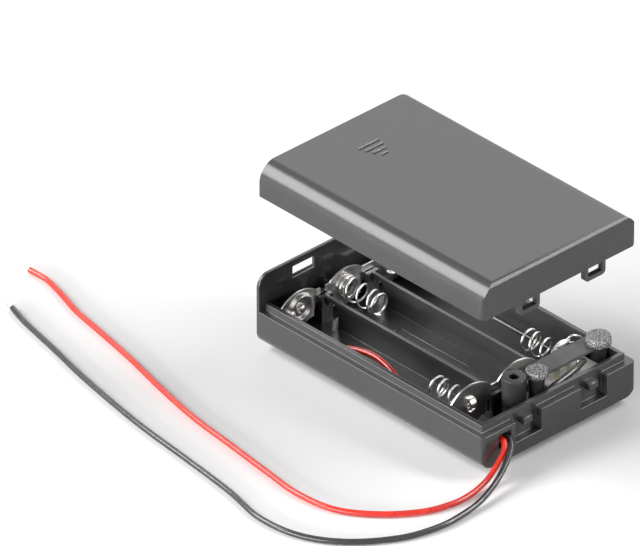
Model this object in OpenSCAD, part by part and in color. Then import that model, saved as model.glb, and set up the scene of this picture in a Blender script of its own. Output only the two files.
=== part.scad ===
// Three-cell series holder with a latched lid, an end compartment with a slide switch, and two loose leads.
// Datum of the modules: the middle of the tray's flat underside. X runs along the cells, with the switch and
// the leads at the +X end. Z is up. stand() then lifts the whole case onto the tip of the switch knob.

/* [Tray] */
// Length of the case
case_l = 64; // [63.5:0.1:66]
// Width of the case
case_w = 41.4; // [41.2:0.1:44]
// Height of the ledge that carries the lid
ledge_z = 7.6; // [7.4:0.1:8.4]
// Width of the ledge along the two long sides
ledge_side = 1.4; // [1.3:0.05:1.6]
// Width of the ledge at the latch end
ledge_end = 1.7; // [1.6:0.05:1.9]
// Thickness of the lip inside the ledge
lip_t = 1.0; // [0.8:0.05:1.1]
// Height of the lip above the ledge
lip_h = 1.55; // [1.2:0.05:1.8]
// Thickness of the floor
floor_t = 1.2; // [1:0.05:1.4]
// Radius of the two long bottom edges
bottom_r = 2.7; // [2:0.1:3.2]
// Radius of the tray's upright corners at the latch end
tray_corner_r = 0.9; // [0.5:0.1:1.2]
// Height of the tall end wall
tall_h = 15.7; // [15.5:0.1:17]
// Thickness of the tall end wall
tall_t = 0.8; // [0.7:0.05:1]
// Radius of the tall wall's top corners
tall_r = 2.8; // [2:0.1:3.4]

/* [Cell bays] */
// Diameter of one cell
cell_d = 10.5; // [10.3:0.1:10.7]
// Length of one cell
cell_l = 44.5; // [44:0.1:44.8]
// Length of the end compartment, from the near contacts to the end wall
switch_room = 9.4; // [9.2:0.1:10]
// Room behind the far contacts
far_room = 2.6; // [2.4:0.1:2.8]
// Thickness of a divider between two bays
divider_t = 0.75; // [0.7:0.05:1]
// Height of the dividers
divider_z = 7.2; // [6.6:0.1:7.3]
// Height of the arch through each divider beside the far contacts
arch_z = 6.2; // [5:0.1:6.4]
// Length of that arch
arch_l = 3.4; // [2.8:0.1:5]

/* [Contacts] */
// Thickness of the contact sheet
plate_t = 0.4; // [0.3:0.05:0.5]
// Width of a contact plate
plate_w = 10.4; // [10:0.1:10.6]
// Height of the top of a far contact plate
far_plate_top = 10.3; // [10.2:0.1:11]
// Height of the top of a near contact plate
near_plate_top = 11.1; // [10.6:0.1:11.2]
// Top of the third bay's near contact, which carries the jumper's joint
neg_plate_top = 9.4; // [9:0.1:10]
// Height of the bottom of a contact plate
plate_z = 2.9; // [2.7:0.1:3.4]
// Radius of a plate's round top
plate_arc_r = 7.1; // [6.8:0.1:7.6]
// Height of the strap that links two plates
strap_h = 1.3; // [1:0.1:1.6]
// Radius of the raised ring round a positive contact
dome_r = 3.3; // [3:0.1:3.6]
// How far that ring stands out
dome_h = 0.7; // [0.4:0.05:0.9]
// Radius of the nipple that meets the cell
nipple_r = 0.85; // [0.6:0.05:1]

/* [Springs] */
// Outer diameter of a spring
spring_d = 5.0; // [4.8:0.1:5.4]
// Diameter of the spring wire
spring_wire = 0.5; // [0.4:0.05:0.55]
// Open turns of a spring
spring_turns = 2.75; // [2.5:0.25:3.5]
// How far a fitted cell presses a spring
spring_press = 4.65; // [4:0.05:5]
// How far a spring sits below the middle of its cell
spring_drop = 0.4; // [0:0.1:0.5]

/* [Latches] */
// Middle of the first latch, across the case
latch_y1 = -8.3; // [-9:0.1:-7.8]
// Middle of the second latch, across the case
latch_y2 = 9.4; // [8.8:0.1:9.8]
// Width of a latch notch in the end wall
notch_w = 7.1; // [6.8:0.1:7.6]
// Height of a notch's floor
notch_z = 2.9; // [2.5:0.1:3.3]
// Width of a latch loop
loop_w = 5.5; // [5.2:0.1:5.8]
// Length of a loop below the lid's skirt
loop_l = 2.9; // [2.8:0.05:3.1]
// Thickness of a loop
loop_t = 1.2; // [1:0.05:1.3]
// Height of a loop's cross bar
loop_bar = 0.95; // [0.8:0.05:1]
// Width of one leg of a loop
loop_leg = 0.85; // [0.7:0.05:1]
// Width of the catch nub inside a loop
nub_w = 2.4; // [2.2:0.1:2.9]
// Running clearance round nubs, tabs and the lid
latch_gap = 0.15; // [0.1:0.01:0.2]
// Width of a slot in the tall wall for a lid tab
window_w = 5.8; // [5.4:0.1:6.4]
// Distance of each of those slots outwards from its latch
window_out = 0.4; // [0:0.1:0.6]
// Height of that slot's sill
window_z = 12.1; // [11.9:0.1:12.4]
// Height of that slot
window_h = 2.1; // [1.9:0.1:2.4]

/* [Lid] */
// Height of the closed lid's flat top above the ledge
lid_h = 7.3; // [7.1:0.1:7.6]
// Thickness of the lid's top
lid_top_t = 1.0; // [0.9:0.05:1.2]
// Radius of the lid's two long top edges
lid_r = 4.2; // [3.9:0.1:4.4]
// Radius of the lid's upright corners at the latch end
lid_corner_r = 1.5; // [1:0.1:2]
// Radius of the lid's top edge at the latch end
lid_end_r = 1.3; // [0.8:0.1:1.6]
// How far the lid stands above its closed place
lid_lift = 26.8; // [24:0.1:30]
// Lowest gap between the closed lid and the ledge
lid_rest_gap = 0.05; // [0.03:0.01:0.08]
// Height of the raised lines of the opening arrow
arrow_h = 0.2; // [0.15:0.05:0.3]

/* [Switch] */
// Width of the knob, along the case
knob_w = 3.1; // [2.9:0.1:3.3]
// Length of the knob, along its travel
knob_l = 3.0; // [2.8:0.1:3.4]
// How far the knob stands out of the underside
knob_proud = 1.5; // [1:0.1:1.8]
// Travel of the knob from ON to OFF
knob_travel = 4.0; // [3.6:0.1:4.2]
// Gap between the knob and the slot's ends at each stop
slot_end_gap = 1.0; // [0.7:0.1:1.2]
// Gap between the knob and the slot's long sides
slot_side_gap = 0.5; // [0.3:0.05:0.5]
// Thickness of the switch's steel frame
frame_t = 0.4; // [0.35:0.05:0.5]
// Width of the switch's frame
frame_w = 6.6; // [6.4:0.1:6.8]
// Length of the switch's frame
frame_l = 12.8; // [12.6:0.1:13]
// Height of the switch's frame
frame_h = 5.0; // [4.6:0.1:5.2]
// Thickness of the switch's contact base
base_t = 1.3; // [1:0.1:1.5]
// Spacing of the three terminals
terminal_pitch = 3.0; // [2.8:0.1:3.2]

/* [Posts and cover plate] */
// Height of the three posts
post_z = 11.9; // [11.6:0.1:12.2]
// Gap between the switch's frame and the compartment's end wall
frame_gap = 0.2; // [0.1:0.05:0.3]
// Distance from the side wall to the middle of the riveted post in the corner
post_side = 1.7; // [1.7:0.05:2]
// Gap between a riveted post and the end of the switch's frame
post_gap = 0.4; // [0.3:0.05:0.5]
// Radius of the two riveted posts
post_r = 1.6; // [1.4:0.1:1.6]
// Radius of the thin stem above a post's shoulder
stem_r = 0.8; // [0.6:0.1:1]
// Radius of the first riveted head
head_r1 = 2.2; // [2:0.1:2.4]
// Radius of the second riveted head
head_r2 = 2.5; // [2.3:0.1:2.55]
// Thickness of the first riveted head
head_h1 = 1.2; // [1:0.1:1.4]
// Thickness of the second riveted head
head_h2 = 1.8; // [1.2:0.1:2]
// Radius of the screw boss
boss_r = 2.45; // [2.2:0.05:2.5]
// Radius of the blind hole in the screw boss
boss_hole_r = 1.0; // [0.8:0.1:1.1]
// Depth of that blind hole
boss_hole_l = 6; // [5:0.5:8]
// Thickness of the grey cover plate
cover_t = 0.6; // [0.5:0.05:0.8]
// Width of the grey cover plate
cover_w = 4.4; // [4.2:0.1:4.8]

/* [Leads] */
// Diameter of an insulated lead
lead_d = 1.25; // [1.1:0.05:1.3]
// Diameter of the bare tinned end of a lead
tip_d = 0.7; // [0.5:0.05:0.8]
// Width of the lead hole in the end wall
hole_w = 3.4; // [3:0.1:3.6]
// Height of the lead hole
hole_h = 3.0; // [2.6:0.1:3.2]
// Height of the lead hole's sill
hole_z = 3.5; // [3.3:0.1:3.8]
// Distance of the lead hole from the near long side
hole_side = 4.4; // [4.2:0.1:4.8]

/* [Hidden] */
$fn = 48;
eps = 0.01;

// Outline and inner faces of the tray
x_far = -case_l / 2;
x_end = case_l / 2;
y_side = case_w / 2;
x_far_in = x_far + tall_t;
x_end_in = x_end - ledge_end - lip_t;
y_in = y_side - ledge_side - lip_t;
lip_z = ledge_z + lip_h;
lip_far_gap = 0.3;

// Bays
bay_pitch = (2 * y_in + divider_t) / 3;
cell_z = floor_t + cell_d / 2;
x_plate_far = x_far_in + far_room;
x_plate_near = x_end_in - switch_room;
divider_ys = [-bay_pitch / 2, bay_pitch / 2];
inner_r = 0.8;
guide_l = 1.2;
guide_w = 3.2;
slot_gap = 0.06;
rib_y = 0.95;
side_rib_z = divider_z - 0.2;
mark_l = 19.2;
mark_w = 5.2;
mark_t = 0.25;
mark_x = -15.4;

// Contacts
strap_z = divider_z + 0.2;
dome_ring = 0.6;
neck_w = 7.6;
neck_z = cell_z - 0.9;
crown_z = divider_z + 0.3;
crown_w = 2 * (y_in - bay_pitch) - 0.1;
spring_z = cell_z - spring_drop;
collar_r = 1.75;
collar_h = 0.9;
collar_hole_r = 1.15;
bridge_w = 1.6;
bridge_r = 1.3;
bridge_y = -0.5;
bridge_z = cell_z + 0.7;

// Springs
spring_r = (spring_d - spring_wire) / 2;
spring_room = x_plate_near - x_plate_far - plate_t - cell_l;
spring_pitch = (spring_room + spring_press) / spring_turns;
spring_steps = 16;
spring_sides = 8;

// Latches
latch_ys = [latch_y1, latch_y2];
window_ys = [latch_y1 - window_out, latch_y2 + window_out];
nub_top = ledge_z;
nub_z = ledge_z - loop_l + loop_bar + lid_rest_gap + latch_gap;
nub_x = x_end;
tab_w = window_w - 1.2;
tab_h = window_h - 2 * latch_gap - 0.2;
sill_drop = 0.5;

// Lid, at its closed place
lid_z = ledge_z + lid_rest_gap;
lid_top = ledge_z + lid_h;
lid_x0 = x_far_in + latch_gap;
lid_x1 = x_end;
skirt_side = ledge_side - latch_gap;
skirt_end = ledge_end - latch_gap;
lid_far_z = lip_z + 0.35;
lid_far_t = 1.0;
lid_draft = 0.3;
lid_crease = 0.03;
arrow_x = -21.9;
arrow_step = 1.5;
arrow_line = 0.5;
arrow_lengths = [5.5, 4.7, 3.3, 1.5];

// Switch and posts
post_x = x_end_in - frame_gap - frame_w / 2;
post_y2 = y_in - post_side;
post_y1 = post_y2 - frame_l - 2 * (post_r + post_gap);
post_ys = [post_y1, post_y2];
head_rs = [head_r1, head_r2];
head_hs = [head_h1, head_h2];
shoulder_z = post_z - head_h1 - cover_t;
boss_in = 1.2;
boss_pitch = 5;
boss_x = post_x - boss_in;
boss_y = post_y1 - boss_pitch;
switch_y = (post_y1 + post_y2) / 2;
slot_w = knob_w + 2 * slot_side_gap;
slot_l = knob_l + knob_travel + 2 * slot_end_gap;
knob_y = switch_y + knob_travel / 2;
frame_top = floor_t + frame_h;
base_top = frame_top + base_t;
base_y = switch_y - frame_l / 2;
cavity_z = floor_t + frame_t;
ear_r = 2.3;
flange_z = cavity_z + 0.2;
flange_t = 1.5;
flange_w = frame_w - 2 * frame_t - 0.6;
flange_l = frame_l - 2 * frame_t - knob_travel - 0.8;
wiper_t = 0.25;
hump_l = 2.0;
hump_w = 2.0;
wiper_z = flange_z + flange_t;
wiper_top = frame_top - 0.35;
terminal_w = 1.5;
terminal_t = 0.4;
terminal_z = base_top + 2.1;
terminal_ys = [switch_y - terminal_pitch, switch_y, switch_y + terminal_pitch];
cover_x1 = post_x + 0.9;
cover_x0 = cover_x1 - cover_w;
cover_y0 = post_y1 + 0.9;
cover_cut_l = 2.6;
cover_cut_w = 1.1;
cover_y1 = post_y2 + 1.1;

// Leads. Inside and outside stretches meet in the hole through the end wall
lead_r = lead_d / 2;
lead_sides = 8;
hole_y0 = -y_side + hole_side;
meet_x = x_end - 0.5;
meet_z = hole_z + hole_h / 2 - 0.1;
red_y = hole_y0 + lead_r + 0.55;
black_y = hole_y0 + hole_w - lead_r - 0.15;
lie_z = lead_r + 0.02;

// The outer stretches are measured from the surface that the case stands on
red_points = [
    [meet_x, red_y, meet_z + knob_proud], [x_end + 0.3, red_y - 0.1, meet_z + knob_proud - 0.1],
    [33.2, -16.2, 5], [33.6, -18.4, 2.9], [34.4, -22, 1.3], [35.2, -27, 0.75], [35, -32, lie_z],
    [33, -38, lie_z], [28, -44.5, lie_z], [21, -49.5, lie_z], [12, -51, lie_z], [2, -50, lie_z],
    [-10, -48.5, lie_z], [-22, -47, lie_z], [-34, -44.5, lie_z], [-46, -41.5, lie_z], [-57, -39.2, lie_z],
    [-66, -37.4, lie_z], [-73, -35.2, lie_z], [-78.5, -33.8, lie_z], [-83.4, -33.8, lie_z]];
black_points = [
    [meet_x, black_y, meet_z + knob_proud], [x_end + 0.3, black_y - 0.05, meet_z + knob_proud - 0.05],
    [33.8, -14.8, 5.5], [35.3, -17.6, 3.8], [37, -22, 2.1], [38.6, -27.5, 1.1], [39.2, -33, 0.7],
    [39.2, -39, lie_z], [37, -47, lie_z], [31, -55.5, lie_z], [23, -60.8, lie_z], [13, -62.2, lie_z],
    [2, -60, lie_z], [-12, -58.2, lie_z], [-26, -56.6, lie_z], [-38, -54.6, lie_z], [-49, -52.4, lie_z],
    [-58, -50.2, lie_z], [-66, -48.4, lie_z], [-71, -47.2, lie_z], [-75.5, -45.7, lie_z]];
red_tip_points = [[-83.4, -33.8, lie_z], [-84.6, -33.7, 0.6], [-85.9, -33.3, 0.5]];
black_tip_points = [[-75.5, -45.7, lie_z], [-76.6, -45.4, 0.6], [-77.8, -45, 0.5]];

// The inner stretches are measured from the tray's underside, as the modules are
run_y = -y_in + 0.1 + lead_r;
run_z = floor_t + 0.1 + lead_r;
red_end = [x_plate_far + plate_t + 0.65, -bay_pitch - 2.8, cell_z - 0.2];
red_inside_points = [
    [meet_x, red_y, meet_z], [x_end_in + 0.7, red_y, meet_z], [x_end_in - 2.3, red_y - 0.4, 3.6],
    [x_plate_near + 3.1, run_y + 0.7, 2.1], [x_plate_near - 2.9, run_y, run_z],
    [x_plate_near - 8.9, run_y, 2.2], [x_plate_near - 12.9, run_y + 0.5, 3.8],
    [x_plate_near - 16.9, run_y + 1.5, 6.3], [-4, run_y + 2.5, 7.4], [-11, run_y + 1.6, 6.5],
    [x_plate_far + 13.1, run_y + 0.4, 3.8], [x_plate_far + 8.6, run_y, run_z],
    [x_plate_far + 4, run_y + 0.3, 2.4], [x_plate_far + 2.2, run_y + 1.2, 4.2], red_end];
black_inside_points = [
    [meet_x, black_y, meet_z], [x_end_in + 0.2, black_y, meet_z], [x_end_in - 1, black_y + 1.1, 4.1],
    [x_end_in - 1.2, boss_y - 4.8, 3], [x_end_in - 1, boss_y - 1.3, 2.5], [x_end_in - 0.8, base_y - 4.8, 3],
    [x_end_in - 0.7, base_y - 2.4, 5.6], [x_end_in - 0.7, base_y - 0.9, base_top + 0.7],
    [x_end_in - 0.9, base_y + 2.8, base_top + 1.4], [x_end_in - 1.4, terminal_ys[1] + 0.6, base_top + 1.85],
    [post_x + 1.1, terminal_ys[2] + 0.3, base_top + 1.8]];

// The bare jumper leaves the middle terminal, comes up from under the cover plate and bends over to its joint
jumper_d = 0.45;
joint_y = bay_pitch - 0.55;
joint_z = neg_plate_top + 0.6;
joint_x = x_plate_near + plate_t + 0.15;
jumper_points = [
    [post_x - 0.4, terminal_ys[1], terminal_z - 0.7], [post_x - 1.5, terminal_ys[1] + 1.4, shoulder_z - 0.7],
    [post_x - 3, terminal_ys[1] + 4.3, shoulder_z - 0.6], [cover_x0 + 0.3, post_y2 - 1.2, shoulder_z - 0.6],
    [cover_x0 - 0.35, post_y2 - 1, shoulder_z + 0.2], [cover_x0 - 0.45, post_y2 - 1.6, shoulder_z + 0.9],
    [joint_x + 0.85, joint_y + 2.1, joint_z + 1.4], [joint_x + 0.45, joint_y + 1.5, joint_z + 1.1],
    [joint_x + 0.15, joint_y + 1.1, joint_z + 0.5], [joint_x, joint_y + 0.6, joint_z + 0.1]];

// Points on a smooth curve through a list of points, with n steps between each pair
function curve_point(a, b, c, d, t) =
    0.5 * (2 * b + (c - a) * t + (2 * a - 5 * b + 4 * c - d) * t * t + (3 * b - a - 3 * c + d) * t * t * t);
function curve(p, n) = [
    for (i = [0:len(p) - 2], s = [0:n - 1])
        curve_point(p[max(i - 1, 0)], p[i], p[i + 1], p[min(i + 2, len(p) - 1)], s / n),
    p[len(p) - 1]];
function unit(v) = v / norm(v);
function heading(p, i) = unit(p[min(i + 1, len(p) - 1)] - p[max(i - 1, 0)]);
function ring(centre, ahead, up, r, sides) =
    let (u = unit(cross(ahead, up)), v = cross(u, ahead))
    [for (k = [0:sides - 1]) centre + r * (cos(360 * k / sides) * u + sin(360 * k / sides) * v)];

// A round tube swept along points, closed at both ends
module swept_tube(p, r, sides, up = [0, 0, 1]) {
    rings = [for (i = [0:len(p) - 1]) ring(p[i], heading(p, i), up, r, sides)];
    last = (len(p) - 1) * sides;
    sides_faces = [
        for (i = [0:len(p) - 2], k = [0:sides - 1])
            let (a = i * sides + k, b = i * sides + (k + 1) % sides)
            each [[a, b, a + sides], [b, b + sides, a + sides]]];
    start_cap = [[for (k = [sides - 1:-1:0]) k]];
    end_cap = [[for (k = [0:sides - 1]) last + k]];
    polyhedron([for (q = rings) each q], concat(sides_faces, start_cap, end_cap), convexity = 8);
}

// Lifts the case onto the tip of the switch knob, which stands out of the underside
module stand() {
    translate([0, 0, knob_proud]) children();
}

// Turns a drawing of the YZ plane into a sheet from x0 to x1
module across(x0, x1) {
    translate([x0, 0, 0]) rotate([90, 0, 90]) linear_extrude(x1 - x0) children();
}

// Turns a drawing of the XZ plane into a bar from y0 to y1
module along(y0, y1) {
    translate([0, y1, 0]) rotate([90, 0, 0]) linear_extrude(y1 - y0) children();
}

module block(low, high) {
    translate(low) cube(high - low);
}

// Rectangle centred on x = 0 with round corners of radius r_low below and r_high above
module round_outline(w, z0, z1, r_low, r_high) {
    translate([-w / 2, z0 + r_low]) square([w, z1 - z0 - r_low - r_high]);
    if (r_low > 0) {
        translate([-w / 2 + r_low, z0]) square([w - 2 * r_low, r_low + eps]);
        for (s = [-1, 1]) translate([s * (w / 2 - r_low), z0 + r_low]) circle(r_low);
    }
    if (r_high > 0) {
        translate([-w / 2 + r_high, z1 - r_high - eps]) square([w - 2 * r_high, r_high + eps]);
        for (s = [-1, 1]) translate([s * (w / 2 - r_high), z1 - r_high]) circle(r_high);
    }
}

// Plan of the case, from above, with its two corners at the latch end rounded by r
module plan_outline(x0, x1, w, r) {
    translate([x0, -w / 2]) square([x1 - x0 - r, w]);
    translate([x1 - r - eps, -w / 2 + r]) square([r + eps, w - 2 * r]);
    for (s = [-1, 1]) translate([x1 - r, s * (w / 2 - r)]) circle(r);
}

// ---------------------------------------------------------------- tray

module tray_shell() {
    difference() {
        union() {
            intersection() {
                across(x_far, x_end) round_outline(case_w, 0, ledge_z, bottom_r, 0);
                linear_extrude(ledge_z + 1) plan_outline(x_far, x_end, case_w, tray_corner_r);
            }
            across(x_far, x_far_in) round_outline(case_w, 0, tall_h, bottom_r, tall_r);
            block([x_far_in + lip_far_gap, -y_in - lip_t, ledge_z - 1],
                [x_end_in + lip_t, y_in + lip_t, lip_z]);
        }
        across(x_far_in, x_end_in) round_outline(2 * y_in, floor_t, tall_h, inner_r, 0);
    }
}

module tall_wall_slot(y) {
    block([x_far - 1, y - window_w / 2, window_z], [x_far_in + 1, y + window_w / 2, window_z + window_h]);
    along(y - window_w / 2, y + window_w / 2)
        polygon([[x_far_in + eps, window_z + eps], [x_far_in - tall_t / 2, window_z + eps],
            [x_far_in + eps, window_z - sill_drop]]);
}

module latch_notch(y) {
    block([x_end - ledge_end, y - notch_w / 2, notch_z], [x_end + 1, y + notch_w / 2, ledge_z + eps]);
}

module catch_nub(y) {
    along(y - nub_w / 2, y + nub_w / 2)
        polygon([[x_end - ledge_end - 0.2, nub_z], [nub_x - 0.2, nub_z], [nub_x, nub_z + 0.2],
            [nub_x, nub_top - 0.35], [nub_x - 0.25, nub_top - 0.1], [x_end - ledge_end - 0.2, nub_top]]);
}

module divider(y) {
    difference() {
        union() {
            block([x_plate_far - guide_l, y - divider_t / 2, floor_t - eps],
                [x_plate_near + plate_t + guide_l, y + divider_t / 2, divider_z]);
            for (x = [x_plate_far, x_plate_near])
                block([x - guide_l, y - guide_w / 2, floor_t - eps],
                    [x + plate_t + guide_l, y + guide_w / 2, divider_z]);
        }
        for (x = [x_plate_far, x_plate_near])
            block([x - slot_gap, y - guide_w, plate_z - slot_gap],
                [x + plate_t + slot_gap, y + guide_w, divider_z + 1]);
        divider_arch(y);
    }
}

// Arch beside the far contacts, round over its inner shoulder
module divider_arch(y) {
    x0 = x_plate_far + plate_t + guide_l;
    r = arch_l / 2;
    along(y - divider_t, y + divider_t) {
        translate([x0, floor_t]) square([arch_l, arch_z - floor_t - r]);
        translate([x0 + r, arch_z - r]) circle(r);
    }
}

module side_ribs() {
    for (s = [-1, 1], x = [x_plate_far, x_plate_near], e = [-1, 1]) {
        xe = e < 0 ? x - slot_gap - guide_l : x + plate_t + slot_gap;
        y0 = s < 0 ? -y_in - eps : y_in - rib_y;
        // the near left pair stops above the leads
        z0 = s < 0 ? plate_z : floor_t - eps;
        block([xe, y0, z0], [xe + guide_l, y0 + rib_y + eps, side_rib_z]);
    }
}

// Low fence that locates the switch's frame from the bays' side
module switch_fence() {
    block([post_x - frame_w / 2 - 0.9, switch_y - 2.5, floor_t - eps],
        [post_x - frame_w / 2 - 0.1, switch_y + 2.5, floor_t + 2]);
}

module riveted_post(y, head_r, head_h) {
    translate([post_x, y, floor_t - eps]) cylinder(h = shoulder_z - floor_t + eps, r = post_r);
    translate([post_x, y, shoulder_z - eps]) cylinder(h = cover_t + 2 * eps, r = stem_r);
    translate([post_x, y, shoulder_z + cover_t]) riveted_head(head_r, head_h);
}

// A melted head: flat below, rounded over at the rim
module riveted_head(r, h) {
    edge = 0.38 * h;
    rotate_extrude() {
        square([r - edge, h]);
        square([r, h - edge]);
        translate([r - edge, h - edge]) circle(edge);
    }
}

module screw_boss() {
    difference() {
        translate([boss_x, boss_y, floor_t - eps]) cylinder(h = post_z - floor_t + eps, r = boss_r);
        translate([boss_x, boss_y, post_z - boss_hole_l]) cylinder(h = boss_hole_l + 1, r = boss_hole_r);
    }
}

module tray() {
    color([0.13, 0.13, 0.14]) stand() difference() {
        union() {
            tray_shell();
            for (y = divider_ys) divider(y);
            side_ribs();
            switch_fence();
            for (i = [0, 1]) riveted_post(post_ys[i], head_rs[i], head_hs[i]);
            screw_boss();
        }
        for (y = window_ys) tall_wall_slot(y);
        for (y = latch_ys) difference() {
            latch_notch(y);
            catch_nub(y);
        }
        block([x_end_in - 1, hole_y0, hole_z], [x_end + 1, hole_y0 + hole_w, hole_z + hole_h]);
        block([post_x - slot_w / 2, switch_y - slot_l / 2, -1],
            [post_x + slot_w / 2, switch_y + slot_l / 2, floor_t + 1]);
        block([mark_x, -mark_w / 2, floor_t - mark_t], [mark_x + mark_l, mark_w / 2, floor_t + 1]);
    }
}

// ---------------------------------------------------------------- lid

module lid_end_outline(x0, x1, z0, z1, r) {
    polygon([[x0, z0], [x1, z0], [x1 - lid_draft, z1 - r], [x1 - lid_draft - r, z1 - r],
        [x1 - lid_draft - r, z1], [x0, z1]]);
    translate([x1 - lid_draft - r, z1 - r]) circle(r);
}

module lid_shell() {
    difference() {
        intersection() {
            // the flat top cuts the sides' rounding a little below its crown, which leaves a fine crease
            across(lid_x0, lid_x1 + 1) round_outline(case_w, lid_z, lid_top + lid_crease, 0, lid_r);
            linear_extrude(lid_top + 1) plan_outline(lid_x0 - 1, lid_x1, case_w, lid_corner_r);
            along(-y_side, y_side) lid_end_outline(lid_x0, lid_x1, lid_z, lid_top, lid_end_r);
        }
        intersection() {
            across(lid_x0 + lid_far_t, lid_x1 - skirt_end)
                round_outline(case_w - 2 * skirt_side, lid_z - 1, lid_top - lid_top_t, 0, lid_r - skirt_side);
            along(-y_side, y_side)
                lid_end_outline(lid_x0, lid_x1 - skirt_end, lid_z - 1, lid_top - lid_top_t, lid_end_r / 2);
        }
        // the far end wall stops above the tray's lip and contacts
        block([lid_x0 - 1, -y_side + skirt_side, lid_z - 1],
            [lid_x0 + lid_far_t + 1, y_side - skirt_side, lid_far_z]);
    }
}

module latch_loop(y) {
    across(lid_x1 - loop_t, lid_x1) translate([y, 0]) difference() {
        round_outline(loop_w, lid_z - loop_l, lid_z + 1, 0.9, 0);
        round_outline(loop_w - 2 * loop_leg, lid_z - loop_l + loop_bar, lid_z, 0.2, 0);
    }
}

module lid_tab(y) {
    z0 = window_z + latch_gap + 0.1;
    along(y - tab_w / 2, y + tab_w / 2)
        polygon([[lid_x0 + 0.3, z0 - 0.6], [lid_x0 - tall_t + 0.05, z0 + 0.4],
            [lid_x0 - tall_t + 0.05, z0 + tab_h], [lid_x0 + 0.3, z0 + tab_h]]);
}

// Raised lines across the top, shorter and shorter towards the latch end
module opening_arrow() {
    for (i = [0:len(arrow_lengths) - 1])
        translate([arrow_x + i * arrow_step, 0, lid_top - eps])
            block([-arrow_line / 2, -arrow_lengths[i] / 2, 0], [arrow_line / 2, arrow_lengths[i] / 2, arrow_h]);
}

module lid() {
    color([0.15, 0.15, 0.16]) stand() translate([0, 0, lid_lift]) {
        lid_shell();
        for (y = window_ys) lid_tab(y);
        for (y = latch_ys) latch_loop(y);
        opening_arrow();
    }
}

// ---------------------------------------------------------------- contacts

// Outline of one plate: a round crown above the dividers, full shoulders in the bay and a narrower foot
module plate_outline(top) {
    intersection() {
        translate([0, top - plate_arc_r]) circle(plate_arc_r, $fn = 96);
        union() {
            translate([-crown_w / 2, crown_z]) square([crown_w, top - crown_z]);
            translate([-plate_w / 2, neck_z]) square([plate_w, top - neck_z]);
            translate([-neck_w / 2, plate_z]) square([neck_w, neck_z - plate_z + eps]);
            translate([0, cell_z]) circle(dome_r + 1.1);
        }
    }
}

// A raised ring and a nipple pressed out of the sheet, along +X
module positive_dome() {
    rotate([0, 90, 0]) rotate_extrude() {
        polygon([[dome_r - 1.4, 0], [dome_r, 0], [dome_r - 0.5, dome_h], [dome_r - 0.9, dome_h]]);
        polygon([[0, 0], [nipple_r + 0.2, 0], [nipple_r, 0.8], [0, 1.2]]);
    }
}

// A short drawn collar that holds the spring, along +X
module spring_collar() {
    rotate([0, 90, 0]) difference() {
        cylinder(h = collar_h, r = collar_r);
        translate([0, 0, -1]) cylinder(h = collar_h + 2, r = collar_hole_r);
    }
}

// The hollows that pressing leaves behind the ring and the nipple
module dome_back() {
    back = -plate_t - eps;
    rotate([0, 90, 0]) rotate_extrude() {
        polygon([[dome_r - 1.1, back], [dome_r - 0.3, back], [dome_r - 0.6, dome_h / 2],
            [dome_r - 0.8, dome_h / 2]]);
        polygon([[0, back], [nipple_r - 0.3, back], [nipple_r - 0.45, 0.5], [0, 0.6]]);
    }
}

module positive_plate(x, y, top, face) {
    difference() {
        union() {
            across(x, x + plate_t) translate([y, 0]) plate_outline(top);
            translate([face > 0 ? x + plate_t - eps : x + eps, y, cell_z]) scale_x(face) positive_dome();
        }
        translate([face > 0 ? x + plate_t : x, y, cell_z]) scale_x(face) dome_back();
    }
}

module spring_plate(x, y, top, face) {
    difference() {
        across(x, x + plate_t) translate([y, 0]) plate_outline(top);
        translate([x - 1, y, spring_z]) rotate([0, 90, 0]) cylinder(h = 2 + plate_t, r = collar_hole_r);
    }
    translate([face > 0 ? x + plate_t - eps : x + eps, y, spring_z]) scale_x(face) spring_collar();
    translate([face > 0 ? x + eps : x + plate_t - eps, y, bridge_z]) scale_x(-face) lanced_bridge();
}

// A strip pressed out of the back of a spring plate, which clamps the spring's tail
module lanced_bridge() {
    along(bridge_y - bridge_w / 2, bridge_y + bridge_w / 2) difference() {
        circle(bridge_r);
        circle(bridge_r - plate_t);
        translate([-2 * bridge_r, -2 * bridge_r]) square([2 * bridge_r, 4 * bridge_r]);
    }
}

// Faces a contact's form towards +X or -X
module scale_x(face) {
    if (face > 0) children();
    else mirror([1, 0, 0]) children();
}

// The strap over a divider that joins two plates
module link_strap(x, y) {
    reach = (bay_pitch - plate_w) / 2 + 1.2;
    block([x, y - reach, strap_z], [x + plate_t, y + reach, strap_z + strap_h]);
}

module contact_pos_bay1() {
    color([0.78, 0.78, 0.76]) stand() {
        positive_plate(x_plate_far, -bay_pitch, far_plate_top, 1);
        // a stub of the strap is left towards the first divider
        block([x_plate_far, -bay_pitch + plate_w / 2 - 1.2, strap_z],
            [x_plate_far + plate_t, -bay_pitch / 2 - divider_t, strap_z + strap_h]);
    }
}

module contact_link_near() {
    color([0.78, 0.78, 0.76]) stand() {
        spring_plate(x_plate_near, -bay_pitch, near_plate_top, -1);
        positive_plate(x_plate_near, 0, near_plate_top, -1);
        link_strap(x_plate_near, -bay_pitch / 2);
    }
}

module contact_link_far() {
    color([0.78, 0.78, 0.76]) stand() {
        spring_plate(x_plate_far, 0, far_plate_top, 1);
        positive_plate(x_plate_far, bay_pitch, far_plate_top, 1);
        link_strap(x_plate_far, bay_pitch / 2);
        // the other half of the strap that is cut over the first divider
        block([x_plate_far, -bay_pitch / 2 + divider_t, strap_z],
            [x_plate_far + plate_t, -plate_w / 2 + 1.2, strap_z + strap_h]);
    }
}

module contact_neg_bay3() {
    color([0.78, 0.78, 0.76]) stand()
        spring_plate(x_plate_near, bay_pitch, neg_plate_top, -1);
}

// ---------------------------------------------------------------- springs

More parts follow.
